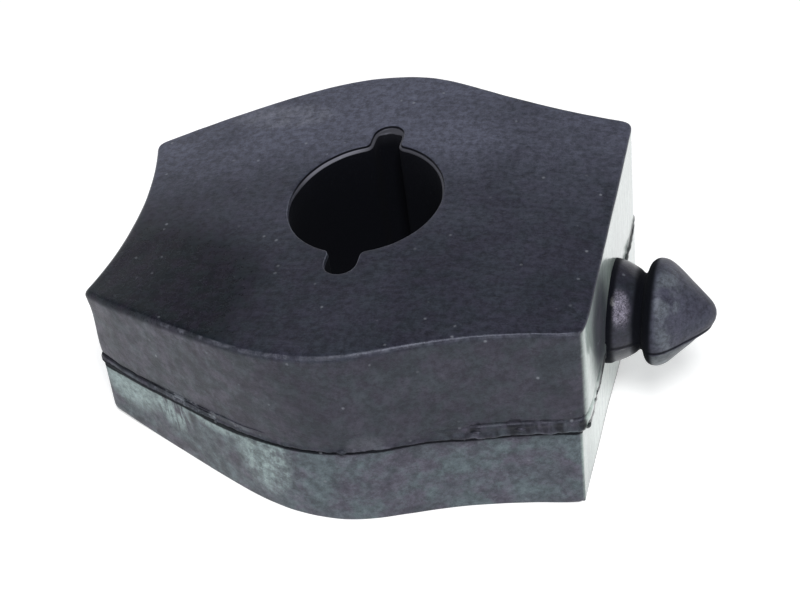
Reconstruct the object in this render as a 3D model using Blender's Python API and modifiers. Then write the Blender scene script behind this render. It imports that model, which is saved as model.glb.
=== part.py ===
"""Differential mount: one moulded rubber block with a bore and a snap-in plug.

The block is made the way its mould makes it. The parting plane of the two mould halves is Z = 0,
the bore runs along Z and the plug along +X. Seen from above the outline is a hollow left end, two
round lobes and a straight right end. Seen from the side it is a wedge that gets thicker towards the
plug: its floor is flat, and its roof is slightly arched. The finished solid is then tipped so that
the floor lies level on Z = 0.
"""
import math

import bmesh
import bpy
from mathutils import Matrix, Vector

MM = 0.001

# Outline of the upper half, from above. X and Y are measured from the middle of the lobes.
HOLLOW_END_X = 40.6 * MM          # to the two tips of the hollow left end
STRAIGHT_END_X = 37.8 * MM        # to the straight end that carries the plug
HOLLOW_DEPTH = 3.2 * MM           # how far the hollow end is scooped in
HOLLOW_END_HALF_WIDTH = 18.7 * MM
LOBE_HALF_WIDTH = 33.8 * MM
STRAIGHT_END_HALF_WIDTH = 24.5 * MM
LOBE_X = 0.4 * MM                 # where the lobes are widest
HOLLOW_FLANK_SLOPE = 0.50         # the sides leave the hollow end at this slope
STRAIGHT_FLANK_SLOPE = -0.11      # and reach the straight end at this one
HOLLOW_FLANK_REACH = 26.0 * MM    # length of the straight-going part of each side
STRAIGHT_FLANK_REACH = 22.0 * MM
LOBE_ROUNDING = 9.2 * MM          # how far the round top of a lobe goes on each side
CORNER_RADIUS = 1.5 * MM

# Thickness, above and below the parting plane.
ROOF_HEIGHT = 18.6 * MM           # at X = 0
ROOF_SLOPE = 0.064                # the roof climbs towards the plug
ROOF_ARCH = 2.5 * MM              # and falls by this much ARCH_REACH away from X = 0
ARCH_REACH = 38.0 * MM
FLOOR_DEPTH = 15.4 * MM           # at X = 0
FLOOR_SLOPE = 0.061               # the floor falls away towards the plug

# The lower mould half is a little smaller and sits slightly off the upper one.
LOWER_INSET = 0.5 * MM
LOWER_SHIFT_X = -0.3 * MM
LOWER_SHIFT_Y = 0.55 * MM

# Flash squeezed out between the mould halves.
FLASH_WIDTH = 0.3 * MM
FLASH_ABOVE = 0.25 * MM
FLASH_BELOW = 0.20 * MM

# Bore, slightly oval, with a notch on each side. It lies a little behind the middle.
BORE_X = 0.0 * MM
BORE_Y = 2.1 * MM
BORE_HALF_X = 12.0 * MM
BORE_HALF_Y = 13.0 * MM
NOTCH_WIDTH = 4.9 * MM
NOTCH_REACH = 17.1 * MM           # from the bore's centre to a notch's outer end

# Plug, measured along its axis from the straight end. It points up a little from the parting plane.
PLUG_Y = 0.0 * MM
PLUG_Z = 0.9 * MM
PLUG_TILT = math.radians(3.2)
PLUG_ROOT_RADIUS = 8.1 * MM
PLUG_GROOVE_RADIUS = 6.1 * MM
PLUG_HEAD_RADIUS = 8.4 * MM
PLUG_TIP_RADIUS = 1.5 * MM
PLUG_GROOVE_AT = 4.3 * MM
PLUG_HEAD_AT = 6.7 * MM
PLUG_LENGTH = 15.7 * MM
PLUG_EMBED = 6.0 * MM             # how far its root goes into the block

# Rounded rims: the outline's edges, top and bottom, and the mouths of the bore.
RIM_RADIUS = 1.0 * MM
MOUTH_RADIUS = 0.6 * MM

# Fineness of the facets.
SIDE_STEPS = 18                   # along each half of a side
HOLLOW_STEPS = 12
CORNER_STEPS = 4
ARCH_STEPS = 16
BORE_STEPS = 56
NOTCH_STEPS = 8
PLUG_STEPS = 40

OVERLAP = 1.0 * MM                # pieces that are joined run this far into each other
BEYOND = 6.0 * MM                 # cutters run this far past what they cut


def roof_z(x):
    """Height of the arched, climbing roof over the parting plane."""
    return ROOF_HEIGHT + ROOF_SLOPE * x - ROOF_ARCH * (x / ARCH_REACH) ** 2


def floor_z(x):
    """Height of the flat, falling floor, which is negative."""
    return -FLOOR_DEPTH - FLOOR_SLOPE * x


def bezier(p0, p1, p2, p3, steps):
    """Points of a cubic Bezier curve, without its last point."""
    points = []
    for i in range(steps):
        t = i / steps
        s = 1.0 - t
        points.append(s ** 3 * p0 + 3 * s * s * t * p1 + 3 * s * t * t * p2 + t ** 3 * p3)
    return points


def side_points():
    """One long side, from the hollow end over the lobe to the straight end, on the +Y side."""
    tip = Vector((-HOLLOW_END_X, HOLLOW_END_HALF_WIDTH))
    lobe = Vector((LOBE_X, LOBE_HALF_WIDTH))
    end = Vector((STRAIGHT_END_X, STRAIGHT_END_HALF_WIDTH))
    leave = Vector((1.0, HOLLOW_FLANK_SLOPE)) * HOLLOW_FLANK_REACH
    arrive = Vector((1.0, STRAIGHT_FLANK_SLOPE)) * STRAIGHT_FLANK_REACH
    round_top = Vector((LOBE_ROUNDING, 0.0))
    points = bezier(tip, tip + leave, lobe - round_top, lobe, SIDE_STEPS)
    points += bezier(lobe, lobe + round_top, end - arrive, end, SIDE_STEPS)
    return points + [end]


def hollow_points():
    """The scooped left end, from its +Y tip to its -Y tip, both left out."""
    points = []
    for i in range(1, HOLLOW_STEPS):
        v = 1.0 - 2.0 * i / HOLLOW_STEPS
        x = -HOLLOW_END_X + HOLLOW_DEPTH * (1.0 - v * v)
        points.append(Vector((x, v * HOLLOW_END_HALF_WIDTH)))
    return points


def round_corner(points, corner, radius):
    """Replaces one corner of a closed outline, turning left, with an arc."""
    at = points.index(corner)
    before = (corner - points[at - 1]).normalized()
    after = (points[(at + 1) % len(points)] - corner).normalized()
    turn = before.angle_signed(after)
    reach = radius * math.tan(abs(turn) / 2.0)
    start = corner - before * reach
    middle = start + Vector((-before.y, before.x)) * radius
    arc = []
    for i in range(CORNER_STEPS + 1):
        spin = Matrix.Rotation(abs(turn) * i / CORNER_STEPS, 2)
        arc.append(middle + spin @ (start - middle))
    kept = [p for p in points if p is corner or (p - corner).length > reach * 1.2]
    at = kept.index(corner)
    return kept[:at] + arc + kept[at + 1:]


def block_outline():
    """The upper half's outline, counter-clockwise from above."""
    far = side_points()
    near = [Vector((p.x, -p.y)) for p in far]
    corners = [near[-1], far[-1], far[0], near[0]]
    outline = near[1:] + far[::-1] + hollow_points() + [near[0]]
    for corner in corners:
        outline = round_corner(outline, corner, CORNER_RADIUS)
    return outline


def offset(outline, distance):
    """A closed counter-clockwise outline, moved outwards by distance (inwards if negative)."""
    moved = []
    count = len(outline)
    for i, point in enumerate(outline):
        before = (point - outline[i - 1]).normalized()
        after = (outline[(i + 1) % count] - point).normalized()
        out_before = Vector((before.y, -before.x))
        out_after = Vector((after.y, -after.x))
        mitre = (out_before + out_after).normalized()
        moved.append(point + mitre * (distance / mitre.dot(out_after)))
    return moved


def bore_outline():
    """The oval bore with its two round-ended notches along Y, counter-clockwise."""
    half = NOTCH_WIDTH / 2.0
    join_angle = math.acos(half / BORE_HALF_X)
    centre = Vector((BORE_X, BORE_Y))
    points = []
    for side in (1.0, -1.0):
        for i in range(BORE_STEPS // 2 + 1):
            angle = -join_angle + 2.0 * join_angle * i / (BORE_STEPS // 2)
            x = side * BORE_HALF_X * math.cos(angle)
            y = side * BORE_HALF_Y * math.sin(angle)
            points.append(centre + Vector((x, y)))
        for i in range(NOTCH_STEPS + 1):
            angle = math.pi * i / NOTCH_STEPS
            x = side * half * math.cos(angle)
            y = side * (NOTCH_REACH - half + half * math.sin(angle))
            points.append(centre + Vector((x, y)))
    return points


def own_collection(name):
    collection = bpy.data.collections.new(name)
    bpy.context.scene.collection.children.link(collection)
    return collection


def prism(name, outline, bottom, top, collection):
    """A flat outline in XY as a closed mesh from Z = bottom to Z = top."""
    curve = bpy.data.curves.new(name, "CURVE")
    curve.dimensions = "2D"
    curve.fill_mode = "BOTH"
    curve.extrude = (top - bottom) / 2.0
    spline = curve.splines.new("POLY")
    spline.points.add(len(outline) - 1)
    spline.use_cyclic_u = True
    for vertex, point in zip(spline.points, outline):
        vertex.co = (point.x, point.y, 0.0, 1.0)
    source = bpy.data.objects.new(name + "_curve", curve)
    source.location.z = (top + bottom) / 2.0
    collection.objects.link(source)
    return curve_to_mesh(source, name, collection)


def curve_to_mesh(source, name, collection):
    """Turns an extruded curve into a closed mesh object in the same place."""
    bpy.context.view_layer.update()
    depsgraph = bpy.context.evaluated_depsgraph_get()
    mesh = bpy.data.meshes.new_from_object(source.evaluated_get(depsgraph))
    mesh.transform(source.matrix_world)
    shape = bmesh.new()
    shape.from_mesh(mesh)
    bmesh.ops.remove_doubles(shape, verts=shape.verts, dist=0.01 * MM)
    bmesh.ops.recalc_face_normals(shape, faces=shape.faces)
    shape.to_mesh(mesh)
    shape.free()
    bpy.data.objects.remove(source)
    obj = bpy.data.objects.new(name, mesh)
    collection.objects.link(obj)
    return obj


def side_slab(name, profile, collection):
    """A profile in X and Z as a slab across the whole width of the block."""
    half = LOBE_HALF_WIDTH + BEYOND
    slab = prism(name, profile, -half, half, collection)
    slab.data.transform(Matrix.Rotation(math.radians(90.0), 4, "X"))
    return slab


def combine(obj, other, operation):
    """Cuts, joins or intersects obj with other, which stays as a hidden guide."""
    boolean = obj.modifiers.new(operation.title(), "BOOLEAN")
    boolean.operation = operation
    boolean.solver = "EXACT"
    boolean.object = other
    other.hide_render = True
    other.display_type = "WIRE"


def plug_profile():
    """Radius of the plug along its axis, as (distance from the straight end, radius)."""
    neck = PLUG_ROOT_RADIUS - PLUG_GROOVE_RADIUS
    lip = PLUG_HEAD_RADIUS - PLUG_GROOVE_RADIUS
    back = PLUG_HEAD_AT - PLUG_GROOVE_AT
    points = [(-PLUG_EMBED, 0.0), (-PLUG_EMBED, PLUG_ROOT_RADIUS), (0.0, PLUG_ROOT_RADIUS)]
    for part, drop in ((0.2, 0.28), (0.45, 0.50), (0.75, 0.80), (1.0, 1.0)):
        points.append((PLUG_GROOVE_AT * part, PLUG_ROOT_RADIUS - neck * drop))
    for part, rise in ((0.2, 0.03), (0.5, 0.55), (0.75, 0.88), (1.0, 1.0)):
        points.append((PLUG_GROOVE_AT + back * part, PLUG_GROOVE_RADIUS + lip * rise))
    cone_end = PLUG_LENGTH - PLUG_TIP_RADIUS * 0.55
    cone = cone_end - PLUG_HEAD_AT
    fall = PLUG_HEAD_RADIUS - PLUG_TIP_RADIUS
    for part, drop in ((0.12, 0.02), (0.26, 0.12), (0.45, 0.34), (0.72, 0.67), (1.0, 1.0)):
        points.append((PLUG_HEAD_AT + cone * part, PLUG_HEAD_RADIUS - fall * drop))
    points.append((PLUG_LENGTH - PLUG_TIP_RADIUS * 0.12, PLUG_TIP_RADIUS * 0.5))
    points.append((PLUG_LENGTH, 0.0))
    return points


def build_plug(collection):
    """The plug, turned about Z with the Screw modifier and laid nearly along +X."""
    mesh = bpy.data.meshes.new("plug")
    profile = plug_profile()[::-1]
    vertices = [(radius, 0.0, along) for along, radius in profile]
    edges = [(i, i + 1) for i in range(len(vertices) - 1)]
    mesh.from_pydata(vertices, edges, [])
    plug = bpy.data.objects.new("plug", mesh)
    collection.objects.link(plug)
    screw = plug.modifiers.new("Turned", "SCREW")
    screw.axis = "Z"
    screw.angle = math.tau
    screw.steps = PLUG_STEPS
    screw.render_steps = PLUG_STEPS
    screw.use_merge_vertices = True
    screw.merge_threshold = 0.00001
    plug.rotation_euler = (0.0, math.radians(90.0) - PLUG_TILT, 0.0)
    plug.location = (STRAIGHT_END_X, PLUG_Y, PLUG_Z)
    return plug


def baked(obj, name, collection):
    """A new object that holds obj's evaluated mesh."""
    bpy.context.view_layer.update()
    depsgraph = bpy.context.evaluated_depsgraph_get()
    mesh = bpy.data.meshes.new_from_object(obj.evaluated_get(depsgraph))
    mesh.name = name
    result = bpy.data.objects.new(name, mesh)
    collection.objects.link(result)
    return result


def soften_rims(obj):
    """Rounds the edges where walls meet the roof or the floor, by a bevel weight."""
    shape = bmesh.new()
    shape.from_mesh(obj.data)
    weight = shape.edges.layers.float.new("bevel_weight_edge")
    for edge in shape.edges:
        if len(edge.link_faces) != 2:
            continue
        uprights = [abs(face.normal.z) < 0.5 for face in edge.link_faces]
        middle = (edge.verts[0].co + edge.verts[1].co) / 2.0
        on_roof = abs(middle.z - roof_z(middle.x)) < 0.1 * MM
        on_floor = abs(middle.z - floor_z(middle.x)) < 0.1 * MM
        if uprights[0] != uprights[1] and (on_roof or on_floor):
            from_bore = (middle.xy - Vector((BORE_X, BORE_Y))).length
            in_mouth = from_bore < NOTCH_REACH + MOUTH_RADIUS
            edge[weight] = MOUTH_RADIUS / RIM_RADIUS if in_mouth else 1.0
    shape.to_mesh(obj.data)
    shape.free()
    bevel = obj.modifiers.new("Rims", "BEVEL")
    bevel.limit_method = "WEIGHT"
    bevel.width = RIM_RADIUS
    bevel.segments = 2
    bevel.use_clamp_overlap = True


def rubber():
    """Black moulded rubber."""
    material = bpy.data.materials.new("black_rubber")
    material.use_nodes = True
    shader = material.node_tree.nodes["Principled BSDF"]
    shader.inputs["Base Color"].default_value = (0.035, 0.037, 0.045, 1.0)
    shader.inputs["Roughness"].default_value = 0.6
    shader.inputs["Metallic"].default_value = 0.0
    material.diffuse_color = (0.035, 0.037, 0.045, 1.0)
    return material


def build():
    for obj in list(bpy.data.objects):
        bpy.data.objects.remove(obj)
    part = own_collection("differential_mount")
    guides = own_collection("mould_shapes")

    outline = block_outline()
    left = -HOLLOW_END_X - BEYOND
    right = STRAIGHT_END_X + BEYOND
    tallest = roof_z(STRAIGHT_END_X) + BEYOND
    deepest = floor_z(STRAIGHT_END_X) - BEYOND

    # Upper half: the outline's prism, kept where it lies under the arched roof.
    steps = [left + (right - left) * i / ARCH_STEPS for i in range(ARCH_STEPS + 1)]
    roof = [Vector((x, roof_z(x))) for x in steps]
    under_roof = [Vector((left, -OVERLAP)), Vector((right, -OVERLAP))] + roof[::-1]
    upper = prism("upper_half", outline, 0.0, tallest, guides)
    combine(upper, side_slab("under_roof", under_roof, guides), "INTERSECT")

    # Lower half: the same outline, smaller and a little off, kept where it lies over the floor.
    shift = Vector((LOWER_SHIFT_X, LOWER_SHIFT_Y))
    lower_outline = [point + shift for point in offset(outline, -LOWER_INSET)]
    over_floor = [Vector((left, floor_z(left))), Vector((right, floor_z(right))),
                  Vector((right, 2.0 * OVERLAP)), Vector((left, 2.0 * OVERLAP))]
    lower = prism("lower_half", lower_outline, deepest, OVERLAP, guides)
    combine(lower, side_slab("over_floor", over_floor, guides), "INTERSECT")

    # Flash along the parting plane, all round the upper half.
    flash = prism("flash", offset(outline, FLASH_WIDTH), -FLASH_BELOW, FLASH_ABOVE, guides)

    # One solid: both halves, the flash and the plug, with the bore through them.
    combine(upper, lower, "UNION")
    combine(upper, flash, "UNION")
    combine(upper, build_plug(guides), "UNION")
    combine(upper, prism("bore", bore_outline(), deepest, tallest, guides), "DIFFERENCE")
    upper.hide_render = True
    upper.display_type = "WIRE"
    mount = baked(upper, "rubber_mount", part)
    mount.data.materials.clear()
    mount.data.materials.append(rubber())
    soften_rims(mount)

    # Tip the part until the floor is level, and stand the middle of its box on the origin.
    mount.rotation_euler = (0.0, -math.atan(FLOOR_SLOPE), 0.0)
    bpy.context.view_layer.update()
    shown = mount.evaluated_get(bpy.context.evaluated_depsgraph_get())
    tipped = [mount.matrix_world @ vertex.co for vertex in shown.data.vertices]
    for axis in range(3):
        low = min(point[axis] for point in tipped)
        high = max(point[axis] for point in tipped)
        mount.location[axis] = -low if axis == 2 else -(low + high) / 2.0


build()
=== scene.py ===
# %% [markdown]
# # A rubber differential mount
# The real part is one block of black rubber, pressed in a mould of two halves. It hangs on its
# snap-in plug and sits round a tube in its bore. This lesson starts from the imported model, which
# fixes the size and place of everything, and dresses it in a finer skin with its own finish.

# %% Load the fixed frame
import math

import bpy
import numpy as np
from mathutils import Matrix


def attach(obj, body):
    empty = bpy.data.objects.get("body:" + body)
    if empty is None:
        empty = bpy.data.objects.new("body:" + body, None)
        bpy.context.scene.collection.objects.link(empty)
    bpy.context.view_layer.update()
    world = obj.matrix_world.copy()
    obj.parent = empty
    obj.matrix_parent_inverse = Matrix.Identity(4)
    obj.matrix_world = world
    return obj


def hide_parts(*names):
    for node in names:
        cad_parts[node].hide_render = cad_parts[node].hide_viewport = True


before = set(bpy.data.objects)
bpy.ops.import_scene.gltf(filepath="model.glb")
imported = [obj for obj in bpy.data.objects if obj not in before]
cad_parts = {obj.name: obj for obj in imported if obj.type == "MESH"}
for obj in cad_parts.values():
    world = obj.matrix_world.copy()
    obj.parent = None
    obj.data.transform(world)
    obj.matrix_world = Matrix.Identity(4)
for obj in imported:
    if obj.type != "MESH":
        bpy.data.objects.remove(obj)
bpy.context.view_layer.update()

# %% [markdown]
# ## The mould's own axes
# Everything on this part follows its mould: the seam of the two halves is flat, and the bore runs
# square to it. Lying on its floor, the part is tipped by a few degrees, because it is a wedge. So
# all shapes below are worked out in millimetres in the mould's axes, with the seam at Z = 0, the
# bore along Z and the plug along X. One turn and one shift then carry them to the frame's place.

# %% From the mould's axes to the frame
FLOOR_FALL = 0.061  # slope of the floor in the mould
TIP = math.atan(FLOOR_FALL)
SHIFT = np.array([-6.15103, 0.0, 15.37143])  # mm
TURN = np.array([[math.cos(TIP), 0.0, -math.sin(TIP)],
                 [0.0, 1.0, 0.0],
                 [math.sin(TIP), 0.0, math.cos(TIP)]])


def to_frame(points):
    """Mould millimetres to frame metres: turned about Y by TIP, then shifted by SHIFT."""
    return (points @ TURN.T + SHIFT) / 1000.0


print("tipped by", round(math.degrees(TIP), 2), "degrees")

# %% [markdown]
# ## The outline of the block
# From above, each long side leaves the hollow end at a slope, rounds a lobe and comes back in an S
# to the straight end. Two cubic Bezier curves a side give that with a few numbers. Filleting the
# four corners one by one would need trimming, so the closed outline is taken at equal steps and
# every point becomes the mean of its neighbours. That rounds corners and leaves long curves alone.

# %% Outline as points at equal steps
HOLLOW_X, HOLLOW_DEPTH, HOLLOW_Y = 40.6, 3.2, 18.7  # mm
STRAIGHT_X, STRAIGHT_Y = 37.8, 24.5
LOBE_X, LOBE_Y, LOBE_ROUND = 0.4, 33.8, 9.2
HOLLOW_PULL = np.array([26.0, 13.0])  # how a flank leaves the hollow end
STRAIGHT_PULL = np.array([22.0, -2.42])  # how it comes back to the straight end
UPPER_ROUND, LOWER_ROUND = 3.3, 2.4  # how far the halves' corners are rounded
STEP = 0.05  # mm between outline points


def bezier(p0, p1, p2, p3, count=400):
    """Cubic Bezier: four points, weighted by the Bernstein polynomials of t from 0 to 1."""
    t = np.linspace(0.0, 1.0, count)[:, None]
    s = 1.0 - t
    return s**3 * p0 + 3 * s * s * t * p1 + 3 * s * t * t * p2 + t**3 * p3


def lengths_along(points):
    """The distance of each point from the first, added up along the line."""
    return np.concatenate([[0.0], np.cumsum(np.linalg.norm(np.diff(points, axis=0), axis=1))])


def between(at, along, table):
    """Every column of a table, read between the places along which it is known."""
    return np.stack([np.interp(at, along, column) for column in table.T], axis=1)


def running_mean(points, count, mode):
    """Each point becomes the mean of the count points round it."""
    wide = np.pad(points, ((count // 2, count // 2), (0, 0)), mode=mode)
    kernel = np.full(count, 1.0 / count)
    return np.stack([np.convolve(column, kernel, "valid") for column in wide.T], axis=1)


def equal_steps(points):
    """A closed line, resampled at equal distances along itself, about STEP apart."""
    closed = np.vstack([points, points[:1]])
    along = lengths_along(closed)
    at = np.linspace(0.0, along[-1], int(along[-1] / STEP), endpoint=False)
    return between(at, along, closed)


def rounded(points, width):
    """Each point of a closed line becomes the mean of the stretch of that width round it."""
    return running_mean(points, max(1, int(width / STEP) // 2 * 2 + 1), "wrap")


def block_outline(rounding):
    """Hollow end, Bezier flank, lobe and straight end, mirrored, with rounded corners."""
    tip, lobe = np.array([-HOLLOW_X, HOLLOW_Y]), np.array([LOBE_X, LOBE_Y])
    end, top = np.array([STRAIGHT_X, STRAIGHT_Y]), np.array([LOBE_ROUND, 0.0])
    far = np.vstack([bezier(tip, tip + HOLLOW_PULL, lobe - top, lobe),
                     bezier(lobe, lobe + top, end - STRAIGHT_PULL, end)[1:]])
    near = far * [1.0, -1.0]
    v = np.linspace(1.0, -1.0, 200)[1:-1]
    hollow = np.stack([-HOLLOW_X + HOLLOW_DEPTH * (1 - v * v), v * HOLLOW_Y], axis=1)
    line = equal_steps(np.vstack([near, far[::-1], hollow]))
    return rounded(rounded(line, rounding), rounding * 0.5)


upper_line = block_outline(UPPER_ROUND)
print("outline of", len(upper_line), "points,", np.round(np.ptp(upper_line, axis=0), 2), "mm")

# %% [markdown]
# ## The bore
# The bore is a little oval and has a round-ended notch on each side, where the tube's tabs pass.
# Seen from its centre, every direction meets its edge once, so the edge is one formula: the
# distance to the oval or to the notch, whichever is longer.

# %% Bore outline as a distance in each direction
BORE_Y, BORE_RX, BORE_RY = 2.15, 12.0, 13.05  # mm
NOTCH_HALF, NOTCH_REACH, BORE_ROUND = 2.45, 17.95, 1.7
CENTRE = np.array([0.0, BORE_Y])


def bore_outline(rounding):
    """Distance to an ellipse, or to a slot of half-width w whose end is a circle: the longer."""
    angle = np.linspace(0.0, math.tau, 60000, endpoint=False)
    c, s = np.abs(np.cos(angle)), np.abs(np.sin(angle))
    oval = 1.0 / np.sqrt((c / BORE_RX) ** 2 + (s / BORE_RY) ** 2)
    middle = NOTCH_REACH - NOTCH_HALF
    side = NOTCH_HALF / np.maximum(c, 1e-6)
    end = middle * s + np.sqrt(np.maximum(NOTCH_HALF**2 - (middle * c) ** 2, 0.0))
    slot = np.where(side * s <= middle, side, end)
    reach = np.maximum(oval, slot)
    line = CENTRE + reach[:, None] * np.stack([np.cos(angle), np.sin(angle)], axis=1)
    return rounded(equal_steps(line), rounding)


bore_line = bore_outline(BORE_ROUND)
print("bore of", np.round(np.ptp(bore_line, axis=0), 2), "mm with its notches")

# %% [markdown]
# ## One set of directions for every outline
# The skin is one sheet that runs round the block in u, and over the roof, down the wall, under the
# floor and back up the bore in v. For that, all outlines need the same number of points, in the
# same directions from the bore's centre. Directions are packed closer where a line turns sharply.

# %% Directions, and outlines taken in those directions
AROUND = 640


def normals_of(line):
    """Outward normals of a counter-clockwise closed line: its tangent, turned by -90 degrees."""
    tangent = np.roll(line, -1, axis=0) - np.roll(line, 1, axis=0)
    tangent /= np.linalg.norm(tangent, axis=1, keepdims=True)
    return np.stack([tangent[:, 1], -tangent[:, 0]], axis=1)


def in_directions(line, directions):
    """Points and normals of a closed line in the given directions from the bore's centre."""
    normal = normals_of(line)
    angle = np.unwrap(np.arctan2(line[:, 1] - CENTRE[1], line[:, 0] - CENTRE[0]))
    table = np.hstack([line, normal])
    full = np.concatenate([angle - math.tau, angle, angle + math.tau])
    wide = np.vstack([table, table, table])
    taken = between(directions, full, wide)
    unit = taken[:, 2:] / np.linalg.norm(taken[:, 2:], axis=1, keepdims=True)
    return taken[:, :2], unit


def effort(line, angles, turning):
    """Length passed plus turning (in mm per radian), as a share of the whole, at each angle."""
    points, normal = in_directions(line, angles)
    moved = np.linalg.norm(np.diff(points, axis=0), axis=1)
    turned = np.linalg.norm(np.diff(normal, axis=0), axis=1)
    total = np.concatenate([[0.0], np.cumsum(moved + turning * turned)])
    return total / total[-1]


fine = np.linspace(0.0, math.tau, 40001)
share = 0.62 * effort(upper_line, fine, 6.0) + 0.38 * effort(bore_line, fine, 3.0)
directions = np.interp(np.linspace(0.0, 1.0, AROUND, endpoint=False), share, fine)
outer, outer_out = in_directions(upper_line, directions)
inner, inner_out = in_directions(bore_line, directions)
print(AROUND, "directions, the closest", round(float(np.diff(directions).min()) * 1000, 2), "mrad")

# %% [markdown]
# ## Unevenness
# No moulded rubber is as true as a formula. Smooth hills and dips are the mean of a few sine waves
# that run in random directions. The seed makes them the same on every run.

# %% Smooth seeded unevenness
def uneven(points, size, seed):
    """Mean of 14 sine waves in seeded directions, with hills about size mm wide, from -1 to 1."""
    chance = np.random.default_rng(seed)
    waves = chance.normal(size=(14, points.shape[-1])) * (3.2 / size)
    phases = chance.uniform(0.0, math.tau, 14)
    return np.clip(np.sin(points @ waves.T + phases).mean(axis=-1) * 2.2, -1.0, 1.0)


def ramp(value, low, high):
    """0 below low, 1 above high, and a smooth S between them."""
    t = np.clip((value - low) / (high - low), 0.0, 1.0)
    return t * t * (3.0 - 2.0 * t)


print("unevenness on the outline:", np.round(np.ptp(uneven(outer, 8.0, 1)), 2))

# %% [markdown]
# ## The seam
# Where the mould halves meet, rubber is squeezed out as a thin ragged edge, the flash. The lower
# half is smaller and sits a little off, so the upper one overhangs it. On the right of the near
# side the flash is a lumpy band with a crease over it, and at the near left corner it is a lip that
# hangs over the lower half. Each of these is worked out as one number per direction: how far the
# skin stands out or hangs down there.

# %% How far the upper half and its flash stand out
BOX_X, BOX_Y = 40.88, 34.08  # mm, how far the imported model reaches


def hill(value, at, width):
    """1 where value is at, and less away from it, as exp(-t squared), t the distance in widths."""
    return np.exp(-((value - at) / width) ** 2)


near = ramp(-outer[:, 1], 0.0, 10.0)
corner = hill(outer[:, 0], -40.0, 3.5) * near
near_end = hill(np.hypot(outer[:, 0] - STRAIGHT_X, outer[:, 1] + STRAIGHT_Y), 0.0, 2.6)
outer -= outer_out * (0.40 * corner + 0.45 * near_end)[:, None]
room = np.where(outer[:, 0] < 0, BOX_X + outer[:, 0], 9.0)
room = np.minimum(BOX_Y - np.abs(outer[:, 1]), room)
ragged = 0.16 + 0.30 * np.maximum(uneven(outer, 2.2, 3), 0.0) + 0.12 * uneven(outer, 0.7, 4)
flash_out = np.clip(ragged, 0.05, np.clip(room, 0.1, 0.55)) * (1.0 - 0.5 * (outer[:, 0] > 37.0))
left = ramp(-outer[:, 0], 20.0, 33.0) * near
right = ramp(outer[:, 0], 14.0, 22.0) * ramp(38.2 - outer[:, 0], 0.0, 0.8) * near
lumps = 0.15 + 0.85 * ramp(uneven(outer, 2.0, 5), -0.4, 0.35)
hang = 0.6 * left + 0.55 * right
print("flash stands out by", np.round([flash_out.min(), flash_out.max()], 2), "mm")

# %% How far the lower half stands back
LOWER_OFF = np.array([-0.3, 0.55])  # mm, how far off the lower half sits
lower, lower_out = in_directions(block_outline(LOWER_ROUND) + LOWER_OFF, directions)
inset = 0.30 + 0.25 * (lower[:, 0] / 38.0) ** 2
near_left = hill(lower[:, 0], -40.0, 6.0) * near
inset -= 0.70 * (hill(lower[:, 0], -5.0, 13.0) * near) + 0.10 * near_left
at_end = ramp(lower[:, 0], 35.5, 36.6)  # this half's end face is a little askew
inset += at_end * (0.35 * ramp(-lower[:, 1], 5.0, 22.0) - 0.85 * ramp(lower[:, 1], -8.0, 18.0))
print("lower half stands back by", np.round([inset.min(), inset.max()], 2), "mm")

# %% [markdown]
# ## The rows of the skin
# Each row is a ring of points: an outline moved in or out, at a height. The roof climbs towards the
# plug and is slightly arched, the floor is flat. Rims are quarter circles of rows.

# %% Heights, and helpers that make rows
ROOF_MID, ROOF_CLIMB, ROOF_ARCH, ARCH_REACH = 18.6, 0.064, 2.5, 38.0
FLOOR_MID = -15.4  # mm, all from the seam at Z = 0


def roof_z(x):
    """The roof over the seam: a climb in proportion to x, less an arch as x squared."""
    return ROOF_MID + ROOF_CLIMB * x - ROOF_ARCH * (x / ARCH_REACH) ** 2


def floor_z(x):
    """The flat floor, which falls in proportion to x."""
    return FLOOR_MID - FLOOR_FALL * x


def ring(points, normal, out, height):
    """One row: an outline moved by out along its normals, at a height (a number or f(x))."""
    flat = points + normal * np.broadcast_to(out, (AROUND,))[:, None]
    z = height(flat[:, 0]) if callable(height) else np.broadcast_to(height, (AROUND,))
    return np.column_stack([flat, z])


def quarter(points, normal, radius, side, base, count, rising):
    """A quarter-round rim: out = side * r * (1 - sin a), drop = r * (1 - cos a), a = 0 to 90."""
    angles = np.linspace(0.0, math.pi / 2, count)
    angles = angles if rising else angles[::-1]
    sign = -1.0 if base is roof_z else 1.0
    return [ring(points, normal, side * radius * (1 - math.sin(a)),
                 lambda x, a=a: base(x) + sign * radius * (1 - math.cos(a))) for a in angles]


MOUTH = 0.3  # mm, radius of the bore's rims
mouth = inner + inner_out * MOUTH
rows = []
print("roof at the middle", ROOF_MID, "mm, floor", FLOOR_MID, "mm")

# %% [markdown]
# ## Roof and upper wall
# The roof's rim is rounder towards the near left corner, where the real block is worn. Under it the
# wall runs down to a crease and a band over the seam, which only the right and left stretches have.

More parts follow.
